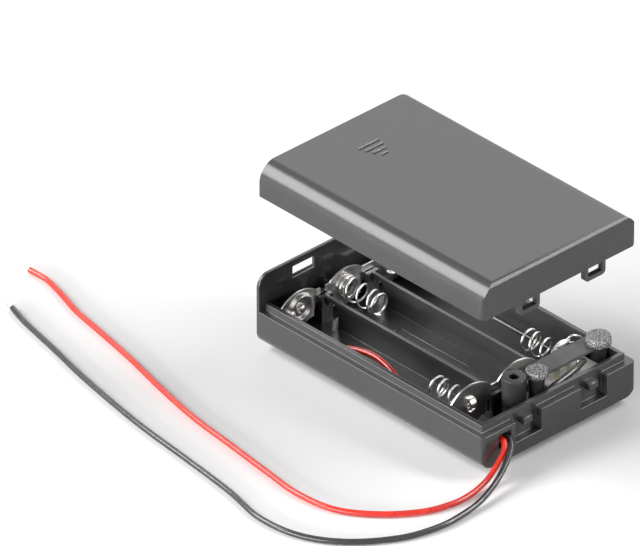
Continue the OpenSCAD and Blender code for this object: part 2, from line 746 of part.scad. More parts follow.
// Rise of the coil after t turns: one closed turn, the open turns, one closed turn
closed_pitch = spring_wire + 0.02;
function coil_rise(t) =
    closed_pitch * min(t, 1) + spring_pitch * min(max(t - 1, 0), spring_turns)
    + closed_pitch * max(t - 1 - spring_turns, 0);
function coil_points() = [
    for (k = [0:ceil((spring_turns + 2) * spring_steps)])
        let (t = k / spring_steps)
        [coil_rise(t), spring_r * cos(360 * t), spring_r * sin(360 * t)]];

module coil_spring() {
    swept_tube(coil_points(), spring_wire / 2, spring_sides, [1, 0, 0]);
}

// All three springs are the same part, turned about the upright to face along the bay
module placed_spring(x, y, face) {
    color([0.85, 0.85, 0.84]) stand()
        translate([x + face * (spring_wire / 2 + 0.03), y, spring_z])
            rotate([0, 0, face > 0 ? 0 : 180]) coil_spring();
}

module spring_bay1() {
    placed_spring(x_plate_near, -bay_pitch, -1);
}

module spring_bay2() {
    placed_spring(x_plate_far + plate_t, 0, 1);
}

module spring_bay3() {
    placed_spring(x_plate_near, bay_pitch, -1);
}

// ---------------------------------------------------------------- switch

// An ear of the frame that fits over a post, cut straight where the tray's wall is near
module frame_ear(y, towards) {
    reach = min(ear_r, y_in - inner_r - 0.03 - y);
    difference() {
        union() {
            translate([post_x, y, floor_t]) intersection() {
                cylinder(h = frame_t, r = ear_r);
                translate([-ear_r, -ear_r, -1]) cube([2 * ear_r, ear_r + reach, 3]);
            }
            block([post_x - ear_r, min(y, y + towards), floor_t],
                [post_x + ear_r, max(y, y + towards), floor_t + frame_t]);
        }
        translate([post_x, y, floor_t - 1]) cylinder(h = 3, r = post_r + 0.05);
    }
}

module switch_frame() {
    color([0.7, 0.7, 0.7]) stand() {
        frame_ear(post_y1, switch_y - frame_l / 2 - post_y1 + eps);
        frame_ear(post_y2, switch_y + frame_l / 2 - post_y2 - eps);
    }
    color([0.7, 0.7, 0.7]) stand() translate([post_x, switch_y, floor_t]) {
        difference() {
            block([-frame_w / 2, -frame_l / 2, 0], [frame_w / 2, frame_l / 2, frame_h]);
            block([-frame_w / 2 + frame_t, -frame_l / 2 + frame_t, frame_t],
                [frame_w / 2 - frame_t, frame_l / 2 - frame_t, frame_h + 1]);
            block([-slot_w / 2, -slot_l / 2, -1], [slot_w / 2, slot_l / 2, 1]);
        }
        // lugs bent up beside the contact base
        for (sx = [-1, 1], sy = [-1, 1])
            translate([sx * (frame_w / 2 - frame_t / 2), sy * frame_l / 4, frame_h - eps])
                block([-frame_t / 2, -0.7, 0], [frame_t / 2, 0.7, base_t + 0.3]);
    }
}

module switch_base() {
    color([0.85, 0.76, 0.74]) stand() difference() {
        block([post_x - frame_w / 2 + frame_t + 0.05, switch_y - frame_l / 2, frame_top],
            [post_x + frame_w / 2 - frame_t - 0.05, switch_y + frame_l / 2, base_top]);
        for (y = terminal_ys)
            block([post_x - terminal_t / 2, y - terminal_w / 2, frame_top - 1],
                [post_x + terminal_t / 2, y + terminal_w / 2, base_top + 1]);
    }
}

// A flat blade through the base, with a foot that the wiper slides over
module terminal(y) {
    color([0.83, 0.8, 0.66]) stand() {
        block([post_x - terminal_t / 2, y - terminal_w / 2, frame_top - 0.2],
            [post_x + terminal_t / 2, y + terminal_w / 2, terminal_z]);
        block([post_x - 1.2, y - terminal_w / 2, frame_top - 0.2], [post_x + 1.2, y + terminal_w / 2, frame_top]);
    }
}

module switch_terminal_spare() {
    terminal(terminal_ys[0]);
}

module switch_terminal_in() {
    terminal(terminal_ys[1]);
}

module switch_terminal_out() {
    terminal(terminal_ys[2]);
}

module switch_knob() {
    color([0.1, 0.1, 0.1]) stand() {
        difference() {
            block([post_x - knob_w / 2, knob_y - knob_l / 2, -knob_proud],
                [post_x + knob_w / 2, knob_y + knob_l / 2, flange_z + eps]);
            // three grooves leave four ridges on the tip
            for (i = [-1, 0, 1])
                translate([post_x - knob_w, knob_y + i * knob_l * 2 / 7 - knob_l / 14, -knob_proud - 1])
                    cube([2 * knob_w, knob_l / 7, 1.5]);
        }
        block([post_x - flange_w / 2, knob_y - flange_l / 2, flange_z],
            [post_x + flange_w / 2, knob_y + flange_l / 2, flange_z + flange_t]);
    }
}

// A bent strip with two humps that bridges two terminals
module switch_wiper() {
    rise = wiper_top - wiper_z - wiper_t;
    color([0.85, 0.7, 0.4]) stand() translate([post_x, knob_y, wiper_z]) {
        block([-1.5, -flange_l / 2 + 0.4, 0], [1.5, flange_l / 2 - 0.4, wiper_t]);
        for (s = [-1, 1]) rotate([90, 0, 90])
            translate([s * terminal_pitch / 2, 0, -hump_w / 2]) linear_extrude(hump_w)
            polygon([[-hump_l / 2, 0], [-0.45, rise + wiper_t], [0.45, rise + wiper_t], [hump_l / 2, 0],
                [hump_l / 2 - 0.35, 0], [0.3, rise], [-0.3, rise], [-hump_l / 2 + 0.35, 0]]);
    }
}

module cover_plate() {
    color([0.45, 0.46, 0.45]) stand() difference() {
        translate([0, 0, shoulder_z]) linear_extrude(cover_t)
            polygon([[cover_x0, cover_y0 + cover_cut_l], [cover_x0 + cover_cut_w, cover_y0],
                [cover_x1, cover_y0], [cover_x1, cover_y1], [cover_x0, cover_y1]]);
        for (y = post_ys)
            translate([post_x, y, shoulder_z - 1]) cylinder(h = cover_t + 2, r = stem_r + 0.02);
    }
}

// ---------------------------------------------------------------- wiring

module jumper_wire() {
    color([0.85, 0.85, 0.83]) stand() swept_tube(curve(jumper_points, 3), jumper_d / 2, lead_sides);
}

// A domed blob of solder that stands on a face along +X, or along -X where towards is below 0
module solder_blob(place, r, h, towards = 1) {
    translate(place) scale_x(towards) rotate([0, 90, 0]) rotate_extrude() intersection() {
        translate([0, h - (r * r + h * h) / (2 * h)]) circle((r * r + h * h) / (2 * h));
        square([r, h]);
    }
}

// A long bead of solder along Y, thin at its ends
module solder_bead(l, r, steps = 16) {
    arc_r = (r * r + l * l / 4) / (2 * r);
    outline = [for (i = [0 : steps]) let (y = l * (i / steps - 0.5))
        [max(0, sqrt(arc_r * arc_r - y * y) - arc_r + r), y]];
    rotate([90, 0, 0]) rotate_extrude() polygon(outline);
}

module solder_red() {
    color([0.8, 0.8, 0.8]) stand()
        solder_blob([x_plate_far + plate_t, red_end[1], red_end[2]], 1.1, 1.0);
}

module solder_black() {
    color([0.8, 0.8, 0.8]) stand()
        solder_blob([post_x + terminal_t / 2, terminal_ys[2], terminal_z - 0.75], 0.7, 0.65);
}

module solder_jumper() {
    color([0.8, 0.8, 0.8]) stand() translate([joint_x, joint_y, joint_z]) solder_bead(4.4, 0.7);
}

module solder_switch() {
    color([0.8, 0.8, 0.8]) stand()
        solder_blob([post_x - terminal_t / 2, terminal_ys[1], terminal_z - 0.75], 0.7, 0.5, -1);
}

module red_lead_inside() {
    color([0.8, 0.08, 0.08]) stand() swept_tube(curve(red_inside_points, 2), lead_r, lead_sides);
}

module black_lead_inside() {
    color([0.12, 0.12, 0.13]) stand() swept_tube(curve(black_inside_points, 2), lead_r, lead_sides);
}

module red_lead() {
    color([0.8, 0.08, 0.08]) swept_tube(curve(red_points, 2), lead_r, lead_sides);
}

module black_lead() {
    color([0.12, 0.12, 0.13]) swept_tube(curve(black_points, 2), lead_r, lead_sides);
}

module red_lead_tip() {
    color([0.8, 0.8, 0.78]) swept_tube(red_tip_points, tip_d / 2, lead_sides);
}

module black_lead_tip() {
    color([0.8, 0.8, 0.78]) swept_tube(black_tip_points, tip_d / 2, lead_sides);
}

tray();
lid();
contact_pos_bay1();
contact_link_near();
contact_link_far();
contact_neg_bay3();
spring_bay1();
spring_bay2();
spring_bay3();
switch_frame();
switch_base();
switch_terminal_spare();
switch_terminal_in();
switch_terminal_out();
switch_knob();
switch_wiper();
cover_plate();
jumper_wire();
solder_red();
solder_black();
solder_jumper();
solder_switch();
red_lead_inside();
black_lead_inside();
red_lead();
black_lead();
red_lead_tip();
black_lead_tip();
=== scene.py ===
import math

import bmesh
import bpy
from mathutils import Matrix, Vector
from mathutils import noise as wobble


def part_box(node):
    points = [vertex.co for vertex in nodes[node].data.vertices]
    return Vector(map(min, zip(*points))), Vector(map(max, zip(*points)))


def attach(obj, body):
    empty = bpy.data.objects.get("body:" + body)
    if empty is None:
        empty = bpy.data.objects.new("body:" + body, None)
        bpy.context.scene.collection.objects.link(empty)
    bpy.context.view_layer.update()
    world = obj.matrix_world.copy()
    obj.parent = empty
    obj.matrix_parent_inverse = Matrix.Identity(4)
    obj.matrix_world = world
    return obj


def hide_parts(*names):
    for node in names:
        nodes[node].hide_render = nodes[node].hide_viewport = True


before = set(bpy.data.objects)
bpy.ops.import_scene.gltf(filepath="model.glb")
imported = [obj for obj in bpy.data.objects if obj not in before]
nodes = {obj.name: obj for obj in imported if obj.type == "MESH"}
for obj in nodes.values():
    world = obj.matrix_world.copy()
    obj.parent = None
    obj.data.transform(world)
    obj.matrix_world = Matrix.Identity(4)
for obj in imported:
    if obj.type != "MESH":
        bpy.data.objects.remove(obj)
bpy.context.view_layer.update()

# %% [markdown]
# # A switched case for three small round cells
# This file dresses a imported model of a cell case: a tray with three bays and a
# small switch compartment, a loose lid held above it, and two bare-ended leads.
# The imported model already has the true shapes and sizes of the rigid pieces, so
# it is never moved here. What this file adds is what a moulder, a spring winder
# and a solderer leave behind: soft edges, surface grain, bright metal, glossy
# insulation and the twisted strands at the ends of the leads.
# Sizes are written in millimetres and turned into metres by one factor.

mm = 0.001

# %% [markdown]
# ## The camera
# A long lens far away keeps the case's long edges almost parallel, which is how
# small products are shown in a catalogue. An orthographic camera would do that
# too, but it can't be moved round the part by distance alone, so a very long
# lens on an ordinary camera is the better choice. Its direction is given by two
# angles, and its distance follows from the width that it has to take in.

# %% The camera
around, above = math.radians(46.6), math.radians(32.3)
level = math.cos(above)
towards_camera = Vector((math.sin(around) * level, -math.cos(around) * level, math.sin(above)))
to_the_right = Vector((math.cos(around), math.sin(around), 0))
upwards = towards_camera.cross(to_the_right)
# the middle of the view lies left of the case, over the leads, and half way up to the lid
view_left, view_up, view_width = 24.56 * mm, 19.91 * mm, 125.2 * mm
view_middle = upwards * view_up - to_the_right * view_left

lens = bpy.data.cameras.new("long_lens")
lens.sensor_width = 36
lens.lens = 1000
lens.clip_start, lens.clip_end = 0.1, 50
camera = bpy.data.objects.new("long_lens", lens)
bpy.context.scene.collection.objects.link(camera)
camera.rotation_mode = "QUATERNION"
camera.rotation_quaternion = (-towards_camera).to_track_quat("-Z", "Y")
camera.location = view_middle + towards_camera * view_width * lens.lens / lens.sensor_width
bpy.context.scene.camera = camera
print(f"camera {camera.location.length:.2f} m away")

# %% [markdown]
# ## A few words for making materials
# Every finish below is a small node tree, built by the same four helpers. They
# read the surface in millimetres of the piece itself, so a grain of a quarter
# of a millimetre is written as 0.25, and it stays in place when a piece moves.

# %% Helpers for node trees
def start_finish(name):
    material = bpy.data.materials.new(name)
    material.use_nodes = True
    tree = material.node_tree
    return material, tree, tree.nodes["Principled BSDF"]


def node(tree, kind, inputs=None, **settings):
    made = tree.nodes.new("ShaderNode" + kind)
    for setting, value in settings.items():
        setattr(made, setting, value)
    for socket, value in (inputs or {}).items():
        if isinstance(value, bpy.types.NodeSocket):
            tree.links.new(value, made.inputs[socket])
        else:
            made.inputs[socket].default_value = value
    return made


def place_in_mm(tree, stretch=(1, 1, 1)):
    own = node(tree, "TexCoord").outputs["Object"]
    scale = tuple(s / mm for s in stretch)
    return node(tree, "Mapping", {"Vector": own, "Scale": scale}).outputs["Vector"]


def noise(tree, place, size, detail=3.0, roughness=0.55):
    values = {"Vector": place, "Scale": 1 / size, "Detail": detail, "Roughness": roughness}
    return node(tree, "TexNoise", values).outputs["Fac"]


def between(tree, factor, low, high, start=0.3, end=0.7):
    values = {"Value": factor, "From Min": start, "From Max": end, "To Min": low, "To Max": high}
    return node(tree, "MapRange", values).outputs["Result"]


def shades(tree, factor, *stops):
    ramp = node(tree, "ValToRGB", {"Fac": factor})
    while len(ramp.color_ramp.elements) < len(stops):
        ramp.color_ramp.elements.new(0.5)
    for element, (position, colour) in zip(ramp.color_ramp.elements, stops):
        element.position = position
        element.color = (*colour, 1)
    return ramp.outputs["Color"]


def relief(tree, height, depth, below=None):
    values = {"Height": height, "Distance": depth * mm, "Strength": 1.0}
    if below is not None:
        values["Normal"] = below
    return node(tree, "Bump", values).outputs["Normal"]


def send(tree, shader, **sockets):
    for socket, value in sockets.items():
        tree.links.new(value, shader.inputs[socket.replace("_", " ")])


print("helpers ready: start_finish, node, place_in_mm, noise, between, shades, relief, send")

# %% [markdown]
# ## The insulation of the leads
# The leads are thin stranded wires in soft PVC. Such insulation is glossy and
# evenly coloured, with a slow waviness from the strands that lie under it and a
# few duller places where it was handled. Two noises give that: a long one for
# the waviness, and a short one for the sheen.

# %% Insulation finishes
def insulation(name, deep, bright, sheen):
    material, tree, shader = start_finish(name)
    place = place_in_mm(tree)
    wave = noise(tree, place, 2.2, 2)
    fine = noise(tree, place, 0.35, 4)
    colour = shades(tree, wave, (0.3, deep), (0.7, bright))
    send(tree, shader, Base_Color=colour, Roughness=between(tree, fine, *sheen))
    send(tree, shader, Normal=relief(tree, fine, 0.006, relief(tree, wave, 0.05)))
    shader.inputs["Specular IOR Level"].default_value = 0.6
    shader.inputs["Coat Weight"].default_value = 0.2
    shader.inputs["Coat Roughness"].default_value = 0.18
    return material


red_insulation = insulation("red_insulation", (0.60, 0.014, 0.006), (0.80, 0.032, 0.012), (0.24, 0.34))
black_insulation = insulation("black_insulation", (0.016, 0.016, 0.016), (0.032, 0.032, 0.033), (0.20, 0.30))
print("insulation:", red_insulation.name, "and", black_insulation.name)

# %% [markdown]
# ## Wire shapes
# Every wire here, from the leads to the springs, is a curve given a round
# section. A curve is the natural tool for wire: its centreline can be measured,
# it stays smooth at any size, and its ends can be closed. The given points
# are joined by a smooth path that passes through each of them, with the same
# formula that the imported model used, only in finer steps.

# %% Helpers for wires
def smooth_path(points, steps=10):
    # a smooth curve through every point, with its direction there taken from the two neighbours
    points = [Vector(p) for p in points]
    last = len(points) - 1
    path = []
    for i in range(last):
        a, b, c, d = points[max(i - 1, 0)], points[i], points[i + 1], points[min(i + 2, last)]
        squared, cubed = 2 * a - 5 * b + 4 * c - d, 3 * b - a - 3 * c + d
        for s in range(steps):
            t = s / steps
            path.append(0.5 * (2 * b + (c - a) * t + squared * t ** 2 + cubed * t ** 3))
    return path + [points[last]]


def path_length(path):
    return sum((b - a).length for a, b in zip(path, path[1:]))


def wire(name, paths, diameter, material, round_steps=5):
    curve = bpy.data.curves.new(name, "CURVE")
    curve.dimensions = "3D"
    curve.bevel_depth = diameter / 2 * mm
    curve.bevel_resolution = round_steps
    curve.use_fill_caps = True
    for path in paths:
        spline = curve.splines.new("POLY")
        spline.points.add(len(path) - 1)
        for point, place in zip(spline.points, path):
            point.co = (*(place * mm), 1)
        spline.use_smooth = True
    curve.materials.append(material)
    made = bpy.data.objects.new(name, curve)
    bpy.context.scene.collection.objects.link(made)
    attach(made, "case")
    return made


print("helpers ready: smooth_path, path_length, wire")

# %% [markdown]
# ## The two leads
# The red and the black lead come out of one notch in the corner of the case, drop
# to the table and lie there in two wide loose curves, side by side and never
# crossing. They are short leads, about 150 mm each, seen from end to end, so
# there is nothing to coil up. Their diameter is 1.25 mm, and they are limp.
# The route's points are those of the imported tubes, so the smooth wires lie
# exactly where the plain ones are.

# %% Routes of the leads
lead_d = 1.25
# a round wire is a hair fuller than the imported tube, so it is drawn that much thinner
drawn_d = lead_d - 0.06
lie = lead_d / 2 + 0.02
red_route = [
    (31.5, -15.125, 6.4), (32.3, -15.225, 6.3), (33.2, -16.2, 5), (33.6, -18.4, 2.9), (34.4, -22, 1.3),
    (35.2, -27, 0.75), (35, -32, lie), (33, -38, lie), (28, -44.5, lie), (21, -49.5, lie), (12, -51, lie),
    (2, -50, lie), (-10, -48.5, lie), (-22, -47, lie), (-34, -44.5, lie), (-46, -41.5, lie),
    (-57, -39.2, lie), (-66, -37.4, lie), (-73, -35.2, lie), (-78.5, -33.8, lie), (-83.4, -33.8, lie)]
black_route = [
    (31.5, -13.675, 6.4), (32.3, -13.725, 6.35), (33.8, -14.8, 5.5), (35.3, -17.6, 3.8), (37, -22, 2.1),
    (38.6, -27.5, 1.1), (39.2, -33, 0.7), (39.2, -39, lie), (37, -47, lie), (31, -55.5, lie),
    (23, -60.8, lie), (13, -62.2, lie), (2, -60, lie), (-12, -58.2, lie), (-26, -56.6, lie),
    (-38, -54.6, lie), (-49, -52.4, lie), (-58, -50.2, lie), (-66, -48.4, lie), (-71, -47.2, lie),
    (-75.5, -45.7, lie)]

red_path, black_path = smooth_path(red_route), smooth_path(black_route)
red_wire = wire("red_wire", [red_path], drawn_d, red_insulation)
black_wire = wire("black_wire", [black_path], drawn_d, black_insulation)
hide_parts("red_lead")
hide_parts("black_lead")
print(f"red lead {path_length(red_path):.1f} mm, black lead {path_length(black_path):.1f} mm")

# %% [markdown]
# ## Their stripped ends
# Each lead ends in a couple of millimetres of bare, tinned strands, given a light
# twist by hand. Seven fine strands, six round one, show that twist at once. Each
# strand is a path that winds round the middle line of the end.
# Tinned copper is a bright, slightly milky metal: the tin lies on it in patches,
# so the roughness varies more than the colour does.

# %% Tinned copper
def bright_metal(name, dull, light, sheen, size=0.3, stretch=(1, 1, 1), depth=0.006):
    material, tree, shader = start_finish(name)
    place = place_in_mm(tree, stretch)
    patches = noise(tree, place, size, 5)
    broad = noise(tree, place_in_mm(tree), 3.0, 2)
    mixed = node(tree, "Math", {0: patches, 1: broad}, operation="MULTIPLY_ADD")
    mixed.inputs[2].default_value = 0.22
    colour = shades(tree, mixed.outputs[0], (0.3, dull), (0.7, light))
    send(tree, shader, Base_Color=colour, Roughness=between(tree, patches, *sheen))
    send(tree, shader, Normal=relief(tree, patches, depth))
    shader.inputs["Metallic"].default_value = 1.0
    return material


tinned_copper = bright_metal("tinned_copper", (0.62, 0.60, 0.57), (0.88, 0.87, 0.84), (0.18, 0.42), size=0.18)
print("metal:", tinned_copper.name)

# %% Twisted strands
def twisted_strands(name, middle, bundle_d, strand_d, turns):
    path = smooth_path(middle, 14)
    paths = [path]
    for k in range(6):
        strand = []
        for i, place in enumerate(path):
            ahead = (path[min(i + 1, len(path) - 1)] - path[max(i - 1, 0)]).normalized()
            side = ahead.cross(Vector((0, 0, 1))).normalized()
            over = side.cross(ahead)
            share = i / (len(path) - 1)
            turn = math.tau * (k / 6 + turns * share)
            # the bundle loosens a little towards its cut end
            reach = (bundle_d - strand_d) / 2 * (0.85 + 0.15 * share)
            strand.append(place + (side * math.cos(turn) + over * math.sin(turn)) * reach)
        paths.append(strand)
    return wire(name, paths, strand_d, tinned_copper, round_steps=3)


tip_d, strand_d = 0.7, 0.22
red_strands = twisted_strands(
    "red_strands", [(-83.2, -33.8, lie), (-84.6, -33.7, 0.6), (-85.8, -33.3, 0.5)], tip_d, strand_d, 0.9)
black_strands = twisted_strands(
    "black_strands", [(-75.3, -45.76, lie), (-76.6, -45.4, 0.6), (-77.7, -45.03, 0.5)], tip_d, strand_d, 0.9)
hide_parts("red_lead_tip")
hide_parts("black_lead_tip")
print("stripped ends:", red_strands.name, "and", black_strands.name)

# %% [markdown]
# ## The studio
# A plain pale floor, a pale world and four soft lamps. The case is nearly black,
# so its form shows by what it reflects. A narrow strip at the front left draws
# the line along the lid's rounded edge, a wide panel low in front lights the long
# side, a dim panel at the back left gives the lid's flat top an even sheen, and a
# thin strip at the back right draws the line over the end's edge. The switch end
# is left in shade.
# The floor and the world have the same pale colour where the camera or a
# reflection sees them, and the world gives less light than it shows.

# %% Floor and world
scene = bpy.context.scene
scene.view_settings.view_transform = "Standard"
pale = (0.94, 0.94, 0.94)

floor_finish, tree, shader = start_finish("pale_floor")
mottle = noise(tree, place_in_mm(tree), 60, 2)
send(tree, shader, Base_Color=shades(tree, mottle, (0.2, (0.93, 0.93, 0.93)), (0.8, pale)))
shader.inputs["Roughness"].default_value = 0.9
shader.inputs["Specular IOR Level"].default_value = 0.1

floor_mesh = bpy.data.meshes.new("floor")
half = 4.0
corners = [(-half, -half, 0), (half, -half, 0), (half, half, 0), (-half, half, 0)]
floor_mesh.from_pydata(corners, [], [(0, 1, 2, 3)])
floor_mesh.materials.append(floor_finish)
floor = bpy.data.objects.new("floor", floor_mesh)
scene.collection.objects.link(floor)

world = bpy.data.worlds.new("soft_room")
world.use_nodes = True
scene.world = world
tree = world.node_tree
tree.nodes.clear()
rays = node(tree, "LightPath").outputs
any_seen = rays["Is Camera Ray"]
for ray in ("Is Glossy Ray", "Is Transmission Ray"):
    any_seen = node(tree, "Math", {0: any_seen, 1: rays[ray]}, operation="MAXIMUM").outputs[0]
shown = node(tree, "Background", {"Color": (*pale, 1), "Strength": 1.0}).outputs[0]
given = node(tree, "Background", {"Color": (0.96, 0.98, 1.0, 1), "Strength": 0.05}).outputs[0]
mixed = node(tree, "MixShader", {0: any_seen, 1: given, 2: shown}).outputs[0]
node(tree, "OutputWorld", {"Surface": mixed})
print("floor and world ready")

# %% Lamps
lamp_distance = 1.5


def soft_lamp(name, direction, size, brightness, along=(0, 0, 1)):
    lamp = bpy.data.lights.new(name, "AREA")
    lamp.shape = "RECTANGLE"
    lamp.size, lamp.size_y = size
    # a panel's power is pi times its area times its brightness
    lamp.energy = math.pi * size[0] * size[1] * brightness
    made = bpy.data.objects.new(name, lamp)
    towards = Vector(direction).normalized()
    # the lamp's second side follows the direction that along gives
    across = Vector(along).cross(towards).normalized()
    turn = Matrix((across, towards.cross(across), towards)).transposed()
    # all lamps face the middle of the case, 20 mm above the table
    place = Vector((0, 0, 0.02)) + towards * lamp_distance
    made.matrix_world = Matrix.Translation(place) @ turn.to_4x4()
    made.visible_camera = False
    scene.collection.objects.link(made)


# a rounded edge mirrors an arc of the room, and each strip lies along its own edge's arc
soft_lamp("front_left_strip", (-0.61, -0.54, 0.58), (0.62, 1.1), 10.5, along=(0, 0.74, 0.68))
soft_lamp("front_low", (0.0, -0.99, 0.13), (1.40, 0.38), 19.5)
soft_lamp("lid_sheen", (-0.614, 0.581, 0.534), (1.03, 0.83), 1.2)
soft_lamp("back_right_strip", (0.53, 0.58, 0.61), (0.20, 1.90), 14, along=(-0.75, 0, 0.66))

# %% [markdown]
# ## Moulded plastic
# The tray and the lid are moulded in black ABS with a fine satin texture. On such
# a surface the eye reads three things: a very shallow grain of about a quarter of
# a millimetre, slow patches of more or less sheen, and edges that are never sharp.
# The grain and the patches are noise in the material. A Bevel modifier gives the
# edges their small radius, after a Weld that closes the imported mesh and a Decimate
# that joins its flat triangles back into whole faces. A Weighted Normal modifier
# then lets the large faces lead the shading.

# %% Plastic finish
def moulded_plastic(name, dark, light, sheen, raised_above=None):
    material, tree, shader = start_finish(name)
    place = place_in_mm(tree)
    grain = noise(tree, place, 0.25, 3)
    flow = noise(tree, place, 9.0, 3)
    speck = noise(tree, place, 1.1, 4)
    mixed = node(tree, "Math", {0: flow, 1: 0.6, 2: 0.2}, operation="MULTIPLY_ADD").outputs[0]
    mixed = node(tree, "Math", {0: speck, 1: 0.2, 2: mixed}, operation="MULTIPLY_ADD").outputs[0]
    colour = shades(tree, mixed, (0.42, dark), (0.78, light))
    if raised_above is not None:
        # marks that stand above this height are coloured a lighter grey, in flecks
        height = node(tree, "SeparateXYZ", {0: place}).outputs["Z"]
        raised_mask = between(tree, height, 0, 1, raised_above, raised_above + 0.05)
        flecks = between(tree, noise(tree, place, 0.22, 2), 0, 1, 0.42, 0.62)
        share = node(tree, "Math", {0: raised_mask, 1: flecks}, operation="MULTIPLY").outputs[0]
        values = {"Fac": share, "Color1": colour, "Color2": (0.28, 0.28, 0.29, 1)}
        colour = node(tree, "MixRGB", values).outputs[0]
    shader.inputs["IOR"].default_value = 1.5
    shader.inputs["Specular IOR Level"].default_value = 0.55
    send(tree, shader, Base_Color=colour, Roughness=between(tree, mixed, *sheen))
    # the grain is less than a thousandth of a millimetre deep, and the slow waves under it a little more
    send(tree, shader, Normal=relief(tree, grain, 0.0008, relief(tree, flow, 0.008)))
    return material


# the same black ABS is painted a little lighter on the tray than on the lid, as painted light for the bays in
# the lid's shade
case_plastic = moulded_plastic("case_plastic", (0.039, 0.039, 0.040), (0.045, 0.045, 0.046), (0.21, 0.26))
# the arrow lines are the highest part of the lid
lid_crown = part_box("lid")[1].z / mm - 0.12
lid_plastic = moulded_plastic(
    "lid_plastic", (0.034, 0.034, 0.036), (0.039, 0.039, 0.041), (0.24, 0.28), raised_above=lid_crown)
print("plastics:", case_plastic.name, "and", lid_plastic.name)

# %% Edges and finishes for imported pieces
def soften(piece, radius, clamp):
    weld = piece.modifiers.new("close", "WELD")
    weld.merge_threshold = 0.002 * mm
    flats = piece.modifiers.new("whole_faces", "DECIMATE")
    flats.decimate_type = "DISSOLVE"
    flats.angle_limit = math.radians(0.6)
    edge = piece.modifiers.new("soft_edges", "BEVEL")
    edge.width = radius * mm
    edge.segments = 2
    edge.limit_method = "ANGLE"
    edge.angle_limit = math.radians(35)
    edge.use_clamp_overlap = clamp
    # large faces lead, so a long rounding keeps its shading right up to a corner
    even = piece.modifiers.new("even_shading", "WEIGHTED_NORMAL")
    even.mode = "FACE_AREA"
    even.weight = 50
    even.keep_sharp = False


def dress(name, material, radius=None, clamp=True):
    piece = nodes[name]
    for slot in piece.material_slots:
        slot.material = material
    if radius:
        soften(piece, radius, clamp)


# the tray has very short edges, which would hold back the rounding of all the others
dress("tray", case_plastic, 0.14, clamp=False)
dress("lid", lid_plastic, 0.16)
print("tray and lid dressed")

# %% [markdown]
# ## Melted heads
# The fibre plate over the switch is held by two posts of the tray, whose tips
# were melted down over it with a hot stake. That leaves a flat button with a torn,
# grainy top, with streaks that run outwards from the middle. Its grain is painted
# dark in its hollows as painted shade and near white on its peaks as painted
# glints. A disc of rings, pushed up and down by noise, gives that surface,
# and it closes over the plain head of the imported tray.

# %% A torn, grainy plastic
def melted_plastic():
    material, tree, shader = start_finish("melted_plastic")
    place = place_in_mm(tree)
    grains = noise(tree, place, 0.2, 3, 0.7)
    # the colour follows the same grain as the bump: its hollows are painted dark as painted shade, its peaks
    # near white as painted glints
    hollow_shade, torn, peak_glint = (0.02, 0.02, 0.021), (0.10, 0.10, 0.10), (0.80, 0.80, 0.80)
    colour = shades(tree, grains, (0.42, hollow_shade), (0.52, torn), (0.59, peak_glint))
    send(tree, shader, Base_Color=colour, Roughness=between(tree, grains, 0.28, 0.5))
    send(tree, shader, Normal=relief(tree, grains, 0.03))
    return material


melted = melted_plastic()
print("finish:", melted.name)

# %% The shape of a melted head
def melted_head(name, middle, radius, height, material, rings=22, turns=96):
    mesh = bmesh.new()
    rows = []
    for i in range(rings + 1):
        share = i / rings
        row = []
        for k in range(turns):
            angle = math.tau * k / turns
            # streaks run outwards: this noise changes fast round the disc and slowly along a radius
            streak = wobble.noise(Vector((math.cos(angle) * 7, math.sin(angle) * 7, share * 1.2)))
            edge = 1 + 0.012 * wobble.noise(Vector((math.cos(angle) * 2, math.sin(angle) * 2, 5)))
            reach = radius * edge * math.sin(share * math.pi / 2) ** 0.8
            x, y = middle.x + reach * math.cos(angle), middle.y + reach * math.sin(angle)
            grain = wobble.noise(Vector((x, y, 0)) * 3.5)
            crown = height * (1 - share ** 5) ** 0.5
            rough = (0.04 * streak * share + 0.04 * grain) * (1 - share ** 8)
            row.append(mesh.verts.new(Vector((x, y, middle.z + max(crown + rough, 0))) * mm))
        rows.append(row)
    for inner, outer in zip(rows, rows[1:]):
        for k in range(turns):
            mesh.faces.new((inner[k], outer[k], outer[k - 1], inner[k - 1]))
    # one face closes the disc below
    mesh.faces.new(rows[-1])
    bmesh.ops.remove_doubles(mesh, verts=mesh.verts, dist=0.001 * mm)
    bmesh.ops.recalc_face_normals(mesh, faces=mesh.faces)
    data = bpy.data.meshes.new(name)
    mesh.to_mesh(data)
    mesh.free()
    data.shade_smooth()
    data.materials.append(material)
    made = bpy.data.objects.new(name, data)
    scene.collection.objects.link(made)
    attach(made, "case")


# the heads lie on the cover plate, so they start at its top
post_x, front_y, back_y = 25.8, -0.2, 16.6
head_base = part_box("cover_plate")[1].z / mm
melted_head("melted_head_front", Vector((post_x, front_y, head_base)), 2.28, 1.3, melted)
# the taller head stays just under the lid when that is closed
melted_head("melted_head_back", Vector((post_x, back_y, head_base)), 2.54, 1.87, melted)
print("melted heads placed")

# %% [markdown]
# ## Lettering under the case
# Beside the slider's slot the mould has two plain words in thin raised lines, OFF
# and ON, joined by a dash. Each letter is a few strokes of one thin round line,
# sunk by half into the underside, so that a rounded ridge is left. A curve with a
# round section draws that directly.

# %% Lettering
knob_low, knob_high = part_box("switch_knob")
knob_middle = (knob_low + knob_high) / 2 / mm
# the slider rests at one end of its travel, so the slot's middle is half the travel away
travel = 4
slot_x, slot_y = knob_middle.x, knob_middle.y - travel / 2
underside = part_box("tray")[0].z / mm
letter_w, letter_h, letter_step = 1.15, 1.8, 1.55
foot_gap, first_letter, line_d = 4.9, 0.9, 0.24
ring = [(0.5 + 0.5 * math.cos(math.tau * k / 24), 0.5 + 0.5 * math.sin(math.tau * k / 24)) for k in range(25)]
strokes = {
    "O": [ring],
    "F": [[(0, 0), (0, 1), (1, 1)], [(0, 0.52), (0.8, 0.52)]],
    "N": [[(0, 0), (0, 1), (1, 0), (1, 1)]],
    "-": [[(0, 0.5), (1, 0.5)]]}
paths = []
word = "OFF-ON"
